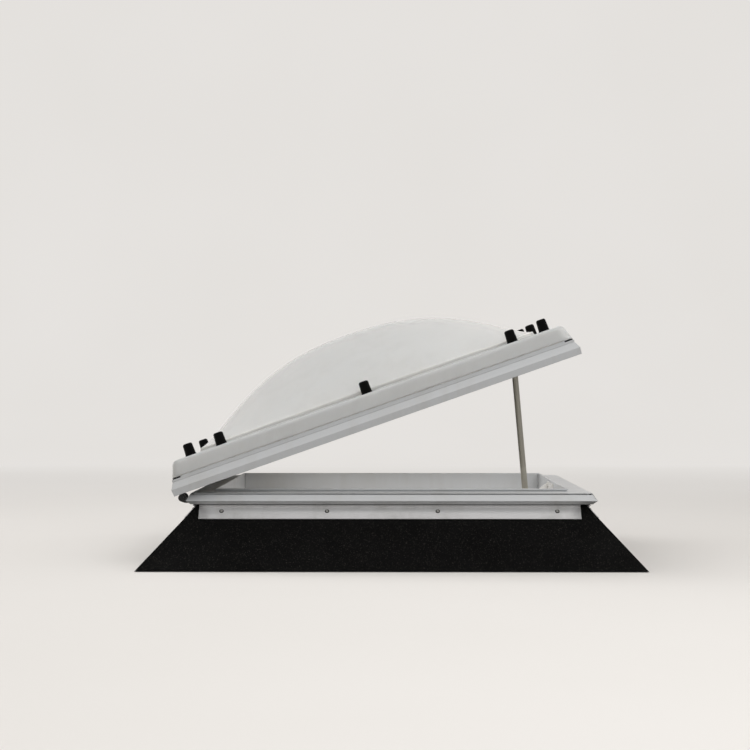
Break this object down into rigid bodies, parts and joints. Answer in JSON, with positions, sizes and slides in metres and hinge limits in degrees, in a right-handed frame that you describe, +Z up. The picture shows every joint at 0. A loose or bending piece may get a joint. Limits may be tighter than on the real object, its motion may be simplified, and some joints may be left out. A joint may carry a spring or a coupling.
{
  "type": "roof skylight",
  "caption": "Opening square roof skylight: an opal domed lid on a white hinged frame, a kerb frame on a flared felted upstand, and a toothed-tube opener.",
  "frame": {"origin": "centre of the daylight opening, at the level of the roof that the upstand stands on", "axes": "+Z up, +X from the hinged side towards the side that opens, +Y away from the viewer of the front bar"},
  "size_m": [1.2764, 1.2764, 0.6555],
  "materials": {
    "mineral_felt": "dull mineral-surfaced bitumen",
    "upstand_moulding": "moulded resin, plain inside",
    "white_profile": "extruded white plastic, satin",
    "clamp_bar": "mill-finish ribbed strip",
    "stainless": "plain steel",
    "black_rubber": "soft black rubber",
    "opal_sheet": "opal sheet, high gloss",
    "inner_sheet": "opal sheet, gloss",
    "black_plastic": "moulded black",
    "aluminium": "natural anodised",
    "bush_plastic": "grey bearing plastic",
    "white_coated": "white powder coat"
  },
  "bodies": {
    "base": {"clamp_bar_back": "clamp_bar", "clamp_bar_front": "clamp_bar", "clamp_bar_left": "clamp_bar", "clamp_bar_right": "clamp_bar", "clamp_bar_screws": "stainless", "console_screws": "stainless", "felt_back": "mineral_felt", "felt_front": "mineral_felt", "felt_left": "mineral_felt", "felt_right": "mineral_felt", "hinge_leaf_kerb_back": "black_plastic", "hinge_leaf_kerb_front": "black_plastic", "hinge_pins": "stainless", "hinge_screws_kerb": "stainless", "kerb_back": "white_profile", "kerb_front": "white_profile", "kerb_left": "white_profile", "kerb_right": "white_profile", "kerb_screws": "stainless", "upstand": "upstand_moulding", "wall_console": "white_coated"},
    "lid": {"lid_frame_front": "white_profile", "lid_frame_right": "white_profile", "lid_frame_back": "white_profile", "lid_frame_left": "white_profile", "lid_seal": "black_rubber", "dome_gasket": "black_rubber", "inner_dome": "inner_sheet", "dome_spacer": "black_rubber", "outer_dome": "opal_sheet", "corner_pads": "black_rubber", "dome_washers": "stainless", "dome_screws": "stainless", "screw_caps": "black_plastic", "hinge_leaf_lid_front": "black_plastic", "hinge_leaf_lid_back": "black_plastic", "hinge_screws_lid": "stainless", "lid_bracket": "white_coated", "bracket_screws": "stainless", "lid_pin": "stainless", "pin_clip": "stainless"},
    "drive": {"drive_housing": "aluminium", "guide_bush_top": "bush_plastic", "guide_bush_bottom": "bush_plastic", "cable_gland": "black_plastic", "housing_cover": "aluminium", "cover_screws": "stainless"},
    "rack": {"rack_tube": "aluminium", "rack_eye": "aluminium"}
  },
  "joints": [
    {"name": "lid_hinge", "type": "hinge", "parent": "base", "child": "lid", "pos_m": [-0.54, 0, 0.174], "axis": [0, -1, 0], "range_deg": [-19.33, 0]},
    {"name": "drive_tilt", "type": "hinge", "parent": "base", "child": "drive", "pos_m": [0.39, 0, 0.03], "axis": [0, 1, 0], "range_deg": [0, 11.5]},
    {"name": "rack_slide", "type": "slide", "parent": "drive", "child": "rack", "axis": [-0.088, 0, 0.9961], "range_m": [-0.3135, 0]}
  ],
  "couplings": [
    {"joint": "drive_tilt", "follows": "lid_hinge", "ratio": -0.592},
    {"joint": "rack_slide", "follows": "lid_hinge", "m_per_rad": 0.9285}
  ]
}
